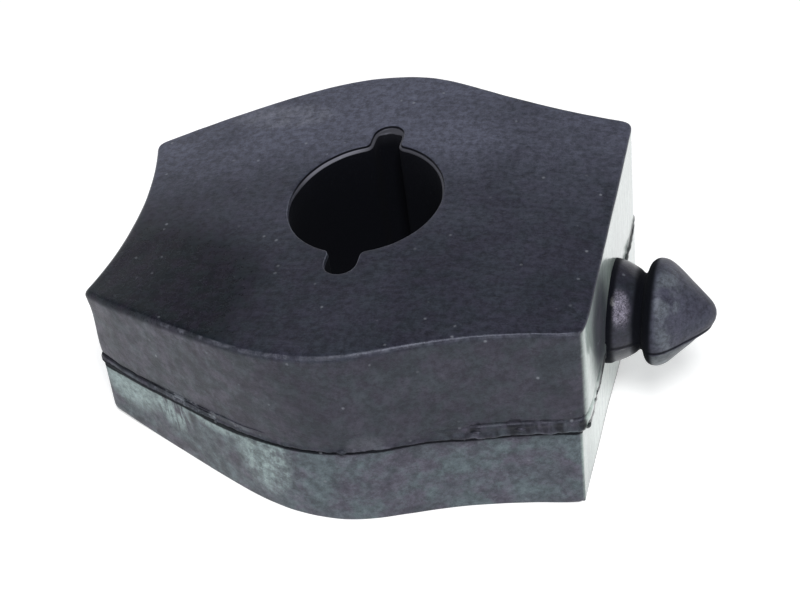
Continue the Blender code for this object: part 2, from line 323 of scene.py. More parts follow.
# %% Rows from the bore's mouth over the roof and down to the band
RIM = 0.42 + 0.70 * ramp(-outer[:, 1] - 0.55 * outer[:, 0], 2.0, 36.0) - 0.30 * corner
BAND_TOP = 2.1  # mm over the seam
BAND_ROWS = ((1.95, 0.0, 0.0), (1.8, -0.22, 0.0), (1.62, -0.30, 0.0),  # height, then how far
             (1.48, 0.06, 0.0), (1.3, 0.24, 0.0), (1.05, 0.32, -0.04),  # out on the right and
             (0.85, 0.30, -0.24), (0.65, 0.28, -0.28), (0.50, 0.28, 0.06))  # on the left, in mm
shoulder = outer - outer_out * RIM[:, None]
for t in np.linspace(0.0, 1.0, 34)[1:-1]:
    flat = mouth * (1 - t) + shoulder * t
    rows.append(np.column_stack([flat, roof_z(flat[:, 0])]))
rows += quarter(outer, outer_out, RIM, -1.0, roof_z, 8, True)
top = rows[-1][:, 2]
for t in np.linspace(0.0, 1.0, 17)[1:]:
    pinch = corner * ramp(np.array(t), -0.05, 0.30) * (1.0 - ramp(np.array(t), 0.35, 1.0))
    rows.append(ring(outer, outer_out, -0.25 * pinch, top * (1 - t) + BAND_TOP * t))
for z, on_right, on_left in BAND_ROWS:
    rows.append(ring(outer, outer_out, (on_right * right + on_left * left) * lumps, z))
print(len(rows), "rows down to the seam")

# %% [markdown]
# ## Flash, lower half and floor
# The flash is a few rows that step out and back in, and sag where a lip or a band hangs. Behind it
# lies a groove, and then the lower wall, which leans in by its draft and ends in the floor's rim.

# %% Rows from the flash down the lower wall and under the floor
FLASH_ROWS = ((0.28, 0.0, 0.25), (0.14, 0.3, 0.8), (0.02, 0.9, 1.0),  # height in mm, share of
              (-0.10, 1.0, 0.7), (-0.2, 1.0, 0.0))  # the sag, of the flash
GROOVE_ROWS = ((-0.30, 0.45), (-0.45, 0.50), (-0.60, 0.30), (-0.80, 0.06), (-1.1, 0.0))
SOLE = 0.25 + 1.5 * near_left + 0.7 * near_end  # mm, radius of the floor's rim
WALL_TOP = -GROOVE_ROWS[-1][0]  # mm, how far under the seam it starts
lip = 0.26 * right * lumps + 0.12 * left
for z, sag, part in FLASH_ROWS:
    rows.append(ring(outer, outer_out, flash_out * part + lip * (part > 0), z - sag * hang))
for z, back in GROOVE_ROWS:
    rows.append(ring(lower, lower_out, -inset - back, z - hang))
sole = floor_z(lower[:, 0]) + SOLE
draft = 0.15 - 0.45 * near_left  # mm, how far the lower wall leans in
for t in np.linspace(0.0, 1.0, 14)[1:-1]:
    height = -(WALL_TOP + hang) * (1 - t) + sole * t
    rows.append(ring(lower, lower_out, -inset - draft * t, height))
base_in = lower - lower_out * (inset + draft)[:, None]
rows += quarter(base_in, lower_out, SOLE, -1.0, floor_z, 5, False)
foot = base_in - lower_out * SOLE[:, None]
for t in np.linspace(0.0, 1.0, 16)[1:-1]:
    flat = foot * (1 - t) + mouth * t
    rows.append(np.column_stack([flat, floor_z(flat[:, 0])]))
rows += quarter(inner, inner_out, MOUTH, 1.0, floor_z, 4, True)
print(len(rows), "rows to the bore's lower mouth")

# %% [markdown]
# ## The bore's wall
# Just inside its upper mouth the bore is a little wider than below: a ledge runs round it, broad at
# the back and at the far notch's end, and nearly nothing in front.

# %% Rows up the bore, to the ledge and its mouth
LEDGE_DROP = 0.60  # mm, how deep in the mouth the ledge lies
LEDGE_ROWS = ((0.93, 0.10), (0.75, 0.02), (0.40, 0.0), (0.15, 0.0), (0.04, -0.05))
broad = 0.7 + 0.3 * ramp(-inner[:, 0], -5.0, 5.0)
ledge = 0.12 + 0.33 * ramp(inner[:, 1] - BORE_Y, -3.0, 5.0) * broad
ledge += 0.65 * ramp(inner[:, 1] - BORE_Y, 16.2, 17.6)
low, high = rows[-1][:, 2], roof_z(inner[:, 0]) - LEDGE_DROP - 0.3
for t in np.linspace(0.0, 1.0, 26)[1:]:
    narrow = ledge * ramp(np.array(t), 0.0, 0.12)
    rows.append(ring(inner, inner_out, -narrow, low * (1 - t) + high * t))
for part, drop in LEDGE_ROWS:
    rows.append(ring(inner, inner_out, -ledge * part,
                     lambda x, drop=drop: roof_z(x) - LEDGE_DROP - drop))
rows += quarter(inner, inner_out, MOUTH, 1.0, roof_z, 5, False)
skin = np.stack(rows)
print("skin of", skin.shape[0], "rows of", skin.shape[1])

# %% [markdown]
# ## From rows to a mesh
# Neighbouring rows are joined by quads, and the last row is joined to the first, so the sheet is a
# ring like a tyre with no open edge. The sum of small volumes under its faces tells whether they
# point outwards. Vertices then move inwards a little, by the unevenness, so the box is kept.

# %% Mesh helpers
def grid_faces(down, across, closed):
    """Quads between neighbours of a grid that closes across, and down too where closed is true."""
    index = np.arange(down * across).reshape(down, across)
    right, below = np.roll(index, -1, axis=1), np.roll(index, -1, axis=0)
    corner = np.roll(right, -1, axis=0)
    quads = np.stack([index, below, corner, right], axis=2)
    return (quads if closed else quads[:-1]).reshape(-1, 4)


def tube_faces(down, around):
    """Faces of a tube of down rings, and a fan at each end to a pole that follows the rings."""
    ring_at, count = np.arange(around), down * around
    fans = [np.stack([np.full(around, count + i), at, np.roll(at, -1)], axis=1)
            for i, at in enumerate((ring_at, ring_at + count - around))]
    return [grid_faces(down, around, False), fans[0], fans[1][:, [0, 2, 1]]]


def volume_of(points, faces):
    """Sum over fans of triangles of p0 . (p1 x p2) / 6, positive when faces point outwards."""
    p = [points[faces[:, i]] for i in range(faces.shape[1])]
    return sum(np.einsum("ij,ij->i", p[0], np.cross(p[i], p[i + 1])).sum()
               for i in range(1, len(p) - 1)) / 6.0


def grid_normals(points, closed):
    """Normals of a grid of points: cross product of the steps across and down, made unit."""
    across = np.roll(points, -1, axis=1) - np.roll(points, 1, axis=1)
    down = np.roll(points, -1, axis=0) - np.roll(points, 1, axis=0)
    if not closed:
        down[0], down[-1] = points[1] - points[0], points[-1] - points[-2]
    normal = np.cross(down, across)
    return normal / np.maximum(np.linalg.norm(normal, axis=2, keepdims=True), 1e-9)


def linked(name, data):
    """A new object of a mesh, lamp or camera, put into the scene."""
    thing = bpy.data.objects.new(name, data)
    bpy.context.scene.collection.objects.link(thing)
    return thing


def smooth_mesh(name, points, faces):
    """A mesh of points in metres and lists of faces, shaded smooth."""
    mesh = bpy.data.meshes.new(name)
    mesh.from_pydata(points.tolist(), [], faces)
    mesh.polygons.foreach_set("use_smooth", np.ones(len(mesh.polygons), dtype=bool))
    mesh.update()
    return mesh


def make_piece(name, points, faces):
    """Puts points (mould mm) and arrays of faces into an object of the frame's place."""
    volume = sum(volume_of(points, f) for f in faces)
    turned = [f if volume > 0 else f[:, ::-1] for f in faces]
    in_place = to_frame(points)
    in_place[:, 2] = np.maximum(in_place[:, 2], 0.0)  # nothing sinks below the table
    mesh = smooth_mesh(name, in_place, [f for group in turned for f in group.tolist()])
    mesh.calc_loop_triangles()
    print(name, len(mesh.loop_triangles), "triangles,", round(abs(volume) / 1000, 2), "cm3")
    return linked(name, mesh)


print("mesh helpers are ready")

# %% The block's skin
block_faces = grid_faces(skin.shape[0], AROUND, True)
if volume_of(skin.reshape(-1, 3), block_faces) < 0:
    block_faces = block_faces[:, ::-1]
outward = grid_normals(skin, True)
swollen = volume_of((skin + outward * 0.01).reshape(-1, 3), block_faces)
outward *= 1.0 if swollen > volume_of(skin.reshape(-1, 3), block_faces) else -1.0
sunk = 0.05 + 0.03 * uneven(skin, 14.0, 11) + 0.02 * uneven(skin, 3.5, 12)
block = make_piece("block", (skin - outward * sunk[..., None]).reshape(-1, 3), [block_faces])

# %% [markdown]
# ## The plug
# The plug snaps through a hole in sheet metal: a tapered neck, a groove that the sheet sits in, and
# a cone that squeezes through. It is turned, so it is a profile carried round an axis. The axis
# leaves the block a little above the seam and points up by three degrees. The mould's seam runs
# along it too, as a thin ridge, with the lower side a hair smaller.

# %% Plug profile, carried round its axis
PLUG_Z, PLUG_TILT, PLUG_TIP = 0.89, math.radians(3.2), 15.66  # mm, but the tilt
PROFILE = np.array([(-6.0, 7.4), (-1.0, 8.0), (-0.4, 8.1), (0.05, 8.2), (0.25, 8.1), (0.6, 8.0),
                    (1.2, 7.9), (2.0, 7.55), (2.8, 7.15), (3.5, 6.75), (4.0, 6.42), (4.3, 6.1),
                    (4.5, 5.75), (4.8, 5.75), (5.0, 6.2), (5.25, 7.0), (5.5, 7.6), (5.9, 8.05),
                    (6.4, 8.3), (7.0, 8.38), (7.7, 8.25), (8.5, 7.85), (9.4, 7.15), (10.5, 6.15),
                    (12.0, 4.75), (13.4, 3.45), (14.4, 2.5), (15.0, 1.8), (15.4, 1.15),
                    (15.6, 0.6)])
TURNS, ALONG = 200, 150


def smooth_profile(profile, count):
    """Points at equal steps along the corners of a profile, each made the mean of its stretch."""
    along = lengths_along(profile)
    return running_mean(between(np.linspace(0.0, along[-1], count), along, profile), 7, "edge")


def plug_points(profile):
    """Profile (s, r) at angle a: s along the rising axis, r cos a along Y, r sin a along Z."""
    angle = np.linspace(0.0, math.tau, TURNS, endpoint=False)
    s, r = profile[:, :1], profile[:, 1:]
    axis_z = PLUG_Z + s * math.sin(PLUG_TILT)
    height = axis_z + r * np.sin(angle) * math.cos(PLUG_TILT)
    ridge = 0.22 * np.exp(-((height / 0.20) ** 2)) - 0.16 * ramp(-height, -0.05, 0.25)
    r = r + ridge * ramp(s, 0.3, 1.0) * ramp(r, 0.4, 2.0)
    x = STRAIGHT_X + s * math.cos(PLUG_TILT) + 0.0 * angle
    y = r * np.cos(angle) + 0.0 * s
    z = axis_z + r * np.sin(angle) * math.cos(PLUG_TILT)
    return np.stack([x, y, z], axis=2)


plug_grid = plug_points(smooth_profile(PROFILE, ALONG))
plug_grid -= 0.03 * uneven(plug_grid, 2.5, 21)[..., None] * grid_normals(plug_grid, False)
poles = np.array([plug_grid[0].mean(axis=0),
                  [STRAIGHT_X + PLUG_TIP * math.cos(PLUG_TILT), 0.0,
                   PLUG_Z + PLUG_TIP * math.sin(PLUG_TILT)]])
plug = make_piece("plug", np.vstack([plug_grid.reshape(-1, 3), poles]), tube_faces(ALONG, TURNS))

# %% [markdown]
# ## Loose flash
# Here and there the flash is a thin fin that stands off the seam: two long ones at the left, two
# short ones at the right, and one that runs down the end face on each side of the plug. A small nub
# was left where the mould was vented. A fin is a flattened tube that follows a stretch of the
# outline: its width swells from nothing to its middle and back, so both ends close by themselves.

# %% Fins along the seam
FIN_STEPS, FIN_ROUND = 120, 10
seam_along = np.arange(len(upper_line)) * STEP
seam_out = normals_of(upper_line)


def fin(start, length, z, width, thick, seed):
    """A flat tube on the seam, start mm past the near left corner: an ellipse, carried along."""
    s = np.linspace(start, start + length, FIN_STEPS)
    x, y = between(s, seam_along, upper_line).T
    out = between(s, seam_along, seam_out)
    t = np.linspace(0.0, 1.0, FIN_STEPS)
    swell = np.sin(math.pi * t) ** 0.6
    spine = np.column_stack([x, y, z + 0.15 * uneven(s[:, None], 5.0, seed)])
    reach = width * swell * (0.65 + 0.35 * uneven(s[:, None], 1.6, seed + 1)) + 0.02
    angle = np.linspace(0.0, math.tau, FIN_ROUND, endpoint=False)
    across = (np.cos(angle) * reach[:, None])[..., None] * np.column_stack([out, 0 * t])[:, None]
    body = thick * (0.3 + 0.7 * swell)
    lift = (np.sin(angle) * body[:, None])[..., None] * np.array([0.0, 0.0, 1.0])
    grid = spine[:, None, :] + across + lift
    points = np.vstack([grid.reshape(-1, 3), spine[:1], spine[-1:]])
    return points, tube_faces(FIN_STEPS, FIN_ROUND)


NEAR_POINTS = 2000  # the outline's first points, on one side
near_side = float(np.interp(37.0, upper_line[:NEAR_POINTS, 0], seam_along[:NEAR_POINTS]))
fins = [fin(11.0, 15.0, 0.85, 0.20, 0.10, 31), fin(17.0, 18.0, 1.35, 0.14, 0.07, 33),
        fin(46.0, 1.5, -0.1, 0.55, 0.45, 37), fin(near_side - 16.6, 2.2, 0.3, 0.60, 0.40, 39),
        fin(near_side - 10.4, 2.0, 0.5, 0.60, 0.36, 41),
        fin(near_side + 0.6, 1.6, -0.15, 0.30, 0.22, 43),
        fin(near_side + 5.0, 11.0, np.linspace(0.5, -0.9, FIN_STEPS), 0.22, 0.12, 45),
        fin(near_side + 33.5, 15.0, np.linspace(0.2, -1.1, FIN_STEPS), 0.50, 0.28, 47)]
offsets = np.concatenate([[0], np.cumsum([len(points) for points, _ in fins])])
fin_faces = [face + start for (_, faces), start in zip(fins, offsets) for face in faces]
flash = make_piece("seam_flash", np.vstack([points for points, _ in fins]), fin_faces)

# %% [markdown]
# ## Writing shader maths in Python
# A finish is many small nodes. One class wraps a socket, so that + - * / on it add Math nodes, and
# one method adds any other node. That keeps each finish readable as a few formulas.

# %% Sockets that can be added and multiplied
class Value:
    """A node's output. An operator on it adds a Math node to the same finish."""

    def __init__(self, finish, socket):
        self.finish, self.socket = finish, socket

    def maths(self, operation, first, second):
        """A Math node on two values, each a number or a socket."""
        return self.finish.node("ShaderNodeMath", {"operation": operation}, {0: first, 1: second})

    def __add__(self, other):
        return self.maths("ADD", self, other)

    def __sub__(self, other):
        return self.maths("SUBTRACT", self, other)

    def __rsub__(self, other):
        return self.maths("SUBTRACT", other, self)

    def __mul__(self, other):
        return self.maths("MULTIPLY", self, other)

    def __truediv__(self, other):
        return self.maths("DIVIDE", self, other)

    def __rtruediv__(self, other):
        return self.maths("DIVIDE", other, self)

    __radd__, __rmul__ = __add__, __mul__


class Finish:
    """A material that is written as formulas."""

    def __init__(self, name):
        self.material = bpy.data.materials.new(name)
        self.material.use_nodes = True
        self.tree = self.material.node_tree
        self.tree.nodes.clear()

    def node(self, kind, settings=None, sockets=None, out=0):
        """Adds a node: its settings first, then its sockets' values or links; gives one output."""
        node = self.tree.nodes.new(kind)
        for key, value in (settings or {}).items():
            setattr(node, key, value)
        for key, value in (sockets or {}).items():
            if isinstance(value, Value):
                self.tree.links.new(value.socket, node.inputs[key])
            else:
                node.inputs[key].default_value = value
        return Value(self, node.outputs[out]) if len(node.outputs) else None

    def mix(self, factor, first, second):
        """Colours or shades: first where factor is 0, second where it is 1."""
        settings = {"data_type": "RGBA", "clamp_factor": True}
        return self.node("ShaderNodeMix", settings, {0: factor, 6: first, 7: second}, out=2)

    def step(self, value, low, high):
        """0 below low, 1 above high, smooth between them; low may be the larger one."""
        settings = {"interpolation_type": "SMOOTHSTEP"}
        return self.node("ShaderNodeMapRange", settings, {0: value, 1: low, 2: high})

    def larger(self, first, second):
        """The larger one of two values."""
        return self.node("ShaderNodeMath", {"operation": "MAXIMUM"}, {0: first, 1: second})

    def noise(self, place, scale, detail=2.0, roughness=0.5):
        """Cloudy noise with scale hills per mm, or per unit of the place that it is given."""
        sockets = {"Vector": place, "Scale": scale, "Detail": detail, "Roughness": roughness}
        return self.node("ShaderNodeTexNoise", {}, sockets)

    def scaled(self, colour, gain):
        """A colour, brighter or darker by a factor that may vary."""
        return self.node("ShaderNodeVectorMath", {"operation": "SCALE"}, {0: colour, 3: gain})

    def spot(self, across, up, at_across, at_up, wide, tall):
        """A soft oval spot: 1 at its middle, 0 outside, from the squared distance."""
        a, b = (across - at_across) / wide, (up - at_up) / tall
        return self.step(a * a + b * b, 1.0, 0.1)

    def stretched(self, place, scale):
        """The same place, squeezed or stretched along each axis."""
        return self.node("ShaderNodeMapping", {}, {"Vector": place, "Scale": scale})


print("shader helpers are ready")

# %% [markdown]
# ## Black rubber, as it comes out of the mould
# The rubber is nearly black and slightly blue, with a satin skin: fine grain, faint flow lines and
# cloudy patches. One image cannot wrap a block like this without seams, so every pattern is laid
# out in the mould's millimetres. A Mapping node gives them from the object's own place: metres
# become millimetres, the turn is undone and the shift is taken off. Everything that lies on the
# rubber shares a few noises of different sizes, so that it looks like one skin.

# %% The rubber's coordinates and patterns
def rgb(red, green, blue):
    """A colour as a socket takes it: linear red, green and blue, and full alpha."""
    return (red, green, blue, 1.0)


BLACK_WARM, BLACK_COLD = rgb(0.0095, 0.0080, 0.0150), rgb(0.0070, 0.0100, 0.0130)
# near black for the seam line and painted shade, and for painted shade at the mouth's far side
SEAM_AND_SHADE_BLACK, MOUTH_SHADE_BLACK = rgb(0.003, 0.003, 0.005), rgb(0.002, 0.002, 0.004)
# near black for painted shade: the bore below the ledge and the plug's groove and root
SHADE_BLACK = rgb(0.0004, 0.0006, 0.0020)
WAX_AND_SHEEN, DUST = rgb(0.078, 0.082, 0.114), rgb(0.34, 0.36, 0.40)


class Rubber(Finish):
    """Rubber with the mould's x, y and z in mm, and the patterns that all of it shares."""

    def __init__(self, name):
        super().__init__(name)
        place = self.node("ShaderNodeTexCoord", out=3)
        mould = self.mould = self.node("ShaderNodeMapping", {}, {
            "Vector": place, "Location": (-SHIFT @ TURN).tolist(), "Rotation": (0.0, TIP, 0.0),
            "Scale": (1000.0, 1000.0, 1000.0)})
        self.x, self.y, self.z = [self.node("ShaderNodeSeparateXYZ", {}, {0: mould}, out=i)
                                  for i in range(3)]
        self.cloud = self.noise(mould, 0.07, 3.0, 0.6)
        self.mottle = self.noise(mould, 1.0, 4.0, 0.72)
        self.blotch = self.noise(mould, 0.30, 3.0, 0.6)
        self.grain = self.noise(mould, 5.0, 3.0, 0.6)
        self.flow = self.noise(self.stretched(mould, (0.35, 1.3, 1.3)), 1.0, 4.0, 0.65)
        self.fine_flow = self.noise(self.stretched(mould, (1.1, 3.2, 3.2)), 1.0, 3.0, 0.6)
        self.base = self.mix(self.step(self.blotch, 0.38, 0.62), BLACK_WARM, BLACK_COLD)

    def mottling(self, streaky):
        """How much lighter or darker each place is: mottles, flow lines and grain, added up."""
        gain = 0.44 + 0.72 * self.step(self.mottle, 0.32, 0.68)
        gain = gain + streaky * self.step(self.flow, 0.35, 0.75)
        gain = gain + streaky * self.step(self.fine_flow, 0.45, 0.80)
        return gain + 0.24 * self.step(self.grain, 0.38, 0.62)

    def dusted(self, colour, painted_shade):
        """Specks round the centres of some Voronoi cells, 2 mm wide, where no shade is painted."""
        cells = {"Vector": self.mould, "Scale": 0.45}
        from_centre = self.node("ShaderNodeTexVoronoi", {}, cells)
        chance = self.node("ShaderNodeTexVoronoi", {}, cells, out=1)
        lucky = self.step(self.node("ShaderNodeSeparateColor", {}, {0: chance}), 0.55, 1.0)
        speck = self.step(from_centre + self.grain * 0.16, 0.24, 0.12)
        return self.mix(speck * lucky * (1.0 - painted_shade) * 0.42, colour, DUST)

    def satin(self, colour, dry, painted_shade, seam, matt, calm, shine):
        """Dust, roughness, bump and shader; painted_shade paints near black and adds roughness,
        matt adds roughness, calm takes the bump away.
        """
        # painted shade: near black where painted_shade is 1
        colour = self.dusted(self.mix(painted_shade, colour, SHADE_BLACK), painted_shade)
        rough = 0.19 + 0.14 * dry + self.mottle * 0.16 + painted_shade * 0.6 + seam * 0.5 + matt
        height = self.grain * 0.03 + self.mottle * 0.11 + self.flow * 0.06 + self.fine_flow * 0.03
        bump = self.node("ShaderNodeBump", {}, {
            "Strength": 0.6, "Distance": 0.001, "Height": height * calm})
        shader = self.node("ShaderNodeBsdfPrincipled", {}, {
            "Base Color": colour, "Roughness": rough, "Specular IOR Level": 0.26,
            "Specular Tint": rgb(0.80, 0.84, 1.0), "Coat Weight": shine, "Coat Roughness": 0.12,
            "Normal": bump})
        self.node("ShaderNodeOutputMaterial", {}, {"Surface": shader})
        print(self.material.name, "has", len(self.tree.nodes), "nodes")
        return self.material


print("rubber is ready for its marks")

# %% [markdown]
# ## The plug's finish
# The plug's head carries a film and a painted highlight on its near side, and its neck a painted
# highlight on top, broken into freckles. Its underside is painted lighter, as painted reflection of
# the white table. The groove and the root are painted near black, as painted shade. Each mark is a
# mask between 0 and 1, made of steps and soft spots.

# %% Marks on the plug
NECK_GLOSS, SEAM_SHARE = 0.25, 0.94  # thin gloss, and how black a seam is


def plug_finish():
    """Film and a painted highlight on the head, a freckled painted highlight on the neck, painted
    reflection underneath, painted shade at the root and groove, and a dark mould line.
    """
    f = Rubber("plug_rubber")
    x, y, z = f.x, f.y, f.z
    neck, head, root = f.step(x, 42.1, 40.7), f.step(x, 43.6, 45.0), f.step(x, 39.3, 38.0)
    film = (f.step(f.cloud, 0.3, 0.7) * 0.20 + 0.38) * (0.25 + 0.75 * head)
    colour = f.mix(film, f.base, rgb(0.078, 0.080, 0.112))
    # painted highlight on the near side of the head, broken up by blotches
    head_highlight = f.spot(x, y, 46.4, -4.0, 2.2, 7.0) * f.step(f.blotch, 0.35, 0.60)
    colour = f.mix(head_highlight * 0.5, colour, rgb(0.16, 0.18, 0.20))
    # painted highlight on top of the neck, lighter in freckles
    lit = f.spot(x, y, 39.5, -5.2, 2.3, 3.2) * f.step(z, 1.5, 5.0)
    lit = lit * lit
    highlight_freckles = 0.25 + 0.60 * f.step(f.grain * 0.6 + f.mottle * 0.4, 0.40, 0.60)
    colour = f.mix(lit * lit * highlight_freckles, colour, rgb(0.25, 0.23, 0.29))
    # painted reflection: the underside is painted lighter, like the white table under it, more on
    # the head
    below = f.step(z, -0.1, -0.5)
    colour = f.mix(below * (0.05 + 0.30 * head), colour, rgb(0.15, 0.18, 0.175))
    seam = f.step(z, 0.75, 0.35) * f.step(z, 0.05, 0.25)
    colour = f.mix(seam * SEAM_SHARE, f.scaled(colour, f.mottling(0.22)), SEAM_AND_SHADE_BLACK)
    open_neck = neck * (1.0 - root)
    # painted shade: the root and the groove, outside the open neck and the head
    return f.satin(colour, dry=1.0, painted_shade=1.0 - f.step(open_neck + head, 0.1, 1.0), seam=seam,
                   matt=0.0, calm=1.0, shine=open_neck * NECK_GLOSS)


plug_rubber = plug_finish()

# %% [markdown]
# ## Where is what on the block
# The block's marks differ from part to part: roof, walls, lower half, bore and end face. A mask for
# each is worked out once, from the mould's coordinates and the same formulas as the shape. That
# keeps the marks on their places if a number of the shape changes.

# %% Masks of the block's parts
class BlockRubber(Rubber):
    """Rubber with masks that are 1 on one part of the block and 0 on the rest."""

    def __init__(self, name):
        super().__init__(name)
        x, y, z = self.x, self.y, self.z
        self.near, self.far = self.step(y, 0.0, -8.0), self.step(y, -1.0, 6.0)
        arch = x * x * (ROOF_ARCH / ARCH_REACH**2)
        self.drop = z - (x * ROOF_CLIMB + ROOF_MID - arch)  # mm over the roof, or under it
        across = self.node("ShaderNodeCombineXYZ", {}, {0: x, 1: y - BORE_Y})
        from_axis = self.node("ShaderNodeVectorMath", {"operation": "LENGTH"}, {0: across}, out=1)
        self.by_bore = self.step(from_axis, 21.0, 20.0)
        self.roof = self.step(self.drop, -1.3, -0.5)
        self.lower_half = self.step(z, -0.1, -0.9)
        self.end = (self.step(x + self.lower_half * 0.9, 36.9, 37.62)
                    * self.step(self.drop, -0.3, -0.8))
        self.left = self.step(x, -20.0, -33.0) * self.near
        self.right = self.step(x, 14.0, 22.0) * self.near * self.step(x, 37.6, 37.2)
        self.runs = self.noise(self.stretched(self.mould, (1.0, 1.0, 0.22)), 1.0, 4.0, 0.6)
        self.veil = self.noise(self.mould, 0.16, 4.0, 0.6)
        self.smear = self.noise(self.mould, 0.45, 4.0, 0.65)


f = BlockRubber("block_rubber")
print("block rubber has", len(f.tree.nodes), "nodes before its marks")

# %% [markdown]
# ## Wax on the roof, film on the walls
# Rubber sweats wax, which dries to a grey film. On the roof it is laid on thicker towards the back
# and thin at the near left corner, so that it also paints the roof lighter towards the back, as
# painted light; one patch at the back is painted lighter still, as painted sheen. On the walls it
# is cloudier to the left and thicker on the lower half, which is partly painted reflection of the
# white table, and its tint wanders between violet, blue and green.

# %% Wax and film
def roof_wax_and_sheen(f, colour):
    """Waxy film and painted light, thicker away from the near side, thinner at the near left corner
    and right of the bore, with a lighter sheen patch; gives colour and that amount.
    """
    # painted light: the film is laid on thicker towards the back and thinner at the near left
    # corner
    wax_and_sheen = 0.22 + 0.13 * f.step(f.y, -18.0, 0.0) + 0.50 * f.step(f.y, 0.0, 20.0)
    wax_and_sheen = wax_and_sheen - 0.40 * f.spot(f.x, f.y, -40.0, -23.0, 35.0, 30.0)
    wax_and_sheen = wax_and_sheen - 0.15 * f.step(f.x, 10.0, 30.0) * f.step(f.y, 0.0, 15.0)
    wax_and_sheen = wax_and_sheen * (0.75 + 0.5 * f.step(f.cloud, 0.25, 0.65))
    colour = f.mix(f.roof * wax_and_sheen, colour, WAX_AND_SHEEN)
    # painted sheen: a lighter patch at the back of the roof, broken up by noise
    sheen_patch = f.spot(f.x, f.y, -19.0, 23.4, 11.0, 4.0) * (0.35 + 0.65 * f.step(f.smear, 0.36, 0.60))
    return f.mix(f.roof * sheen_patch * 0.5, colour, rgb(0.170, 0.175, 0.210)), wax_and_sheen


def wall_film_and_reflection(f, colour):
    """Film off the roof: more to the left and on the lower half, partly painted reflection of the
    table there; made cloudy by two noises.
    """
    film = 0.24 + 0.16 * f.step(f.x, 0.0, -30.0)
    # painted reflection, in part: the lower half, which leans in towards the table, is painted
    # lighter
    film = film + f.lower_half * (0.12 + 0.38 * f.step(f.x, -32.0, 0.0))
    film = film * (1.0 - f.roof) * (0.5 + 0.5 * f.step(f.veil, 0.25, 0.65))
    cloudy = 0.25 + 0.55 * f.step(f.x, 5.0, -25.0)
    film = film * (1.0 + cloudy * (f.step(f.smear, 0.32, 0.68) * 1.6 - 0.8))
    violet, blue = rgb(0.147, 0.142, 0.181), rgb(0.135, 0.150, 0.177)
    green = rgb(0.130, 0.165, 0.180)
    tint = f.mix(f.step(f.blotch, 0.40, 0.60), violet, blue)
    tint = f.mix(f.lower_half * f.step(f.veil, 0.45, 0.60), tint, green)
    return f.mix(film, colour, tint)


colour, wax_and_sheen = roof_wax_and_sheen(f, f.base)
colour = wall_film_and_reflection(f, colour)
print("wax and film:", len(f.tree.nodes), "nodes")

# %% [markdown]
# ## Chalky bloom and the pale end
# On the lower half the bloom has dried to chalk, in patches with runs that hang down from them. The
# end face is pale all over with a thin gloss; the pale colour is partly a pale film and partly
# painted reflection of the white table, seen at a low angle. Above the plug and to its near side it
# is darkened by painted shade, which leans, so its spot is made in coordinates turned by 18
# degrees.

# %% Chalk and end face
CHALK_PATCHES = ((-35.0, -2.8, 7.5, 7.0), (-26.8, -3.4, 4.2, 6.0),  # x, z, half width and
                 (-18.6, -1.6, 6.0, 2.4), (-10.0, -4.4, 5.5, 9.5))  # half height in mm
PLUG_SHADE_Y, PLUG_SHADE_Z, LEAN_COS, LEAN_SIN = -11.5, 8.5, 0.949, 0.316


def chalky_bloom(f, colour):
    """Four soft spots on the near side and a veil on the far one, broken up by runs."""
    streaks = f.step(f.runs, 0.40, 0.60)
    patchy = 0.35 + 0.65 * f.step(f.smear, 0.36, 0.56)
    corner, run, dab, patch = (f.spot(f.x, f.z, *place) for place in CHALK_PATCHES)
    chalk = corner * (0.6 + 0.4 * patchy)
    chalk = chalk + run * streaks
    chalk = chalk + dab * patchy * 0.9
    chalk = chalk + patch * patchy * (0.6 + 0.4 * streaks)
    chalk = chalk * f.near + (1.0 - f.near) * f.step(f.veil, 0.50, 0.66) * 0.6 * streaks
    return f.mix(chalk * f.lower_half, colour, rgb(0.34, 0.43, 0.425))


def pale_end_and_reflection(f, colour):
    """A pale film with faint runs, partly painted reflection, less the leaning painted shade round
    the plug; gives colour and that shade.
    """
    # painted reflection, in part: the end face is painted pale, like the white table it mirrors
    pale = f.end * (0.80 + 0.20 * f.step(f.runs, 0.35, 0.6))
    across, up = f.y - PLUG_SHADE_Y, f.z - PLUG_SHADE_Z
    slanted, rising = across * LEAN_COS + up * LEAN_SIN, up * LEAN_COS - across * LEAN_SIN
    # painted shade round the plug: a leaning spot above it and to its near side
    plug_shade = f.spot(slanted, rising, 0.0, 0.0, 9.5, 15.0)
    return f.mix(pale * (1.0 - plug_shade * 0.98), colour, rgb(0.54, 0.64, 0.59)), plug_shade


colour = chalky_bloom(f, colour)
colour, plug_shade = pale_end_and_reflection(f, colour)
print("chalk and end face:", len(f.tree.nodes), "nodes")

# %% [markdown]
# ## Painted shade at the seam, crease and lip
# The gap under the upper half's overhang is painted black, as painted shade. It follows the flash:
# lower where the lip hangs on the left and the band on the right, and deeper where the lower half
# stands back. Over it runs a crease on both sides, painted black as shade, the lip's underside is
# painted black as shade as well, and the band on the right is lumpy, light and dark.

# %% The seam's marks
def seam_gap(f, wave):
    """Painted shade under the overhang: black from the flash's edge down to a depth that varies
    along the block.
    """
    x, near, on_end = f.x, f.near, f.step(f.x, 37.2, 37.5)
    low = f.z + f.left * 0.6 + f.right * 0.55 + wave - on_end * 0.5
    bottom = -1.05 - f.step(x, -8.0, -18.0) * near * 0.95 - f.step(x, 2.0, 9.0) * near * 0.5
    bottom = bottom - f.right * 0.3 - on_end * f.spot(f.y, f.z, 14.0, 0.0, 14.0, 9.0) * 1.1
    return f.step(low, 0.05, -0.10) * f.step(low - bottom, -0.15, 0.15)


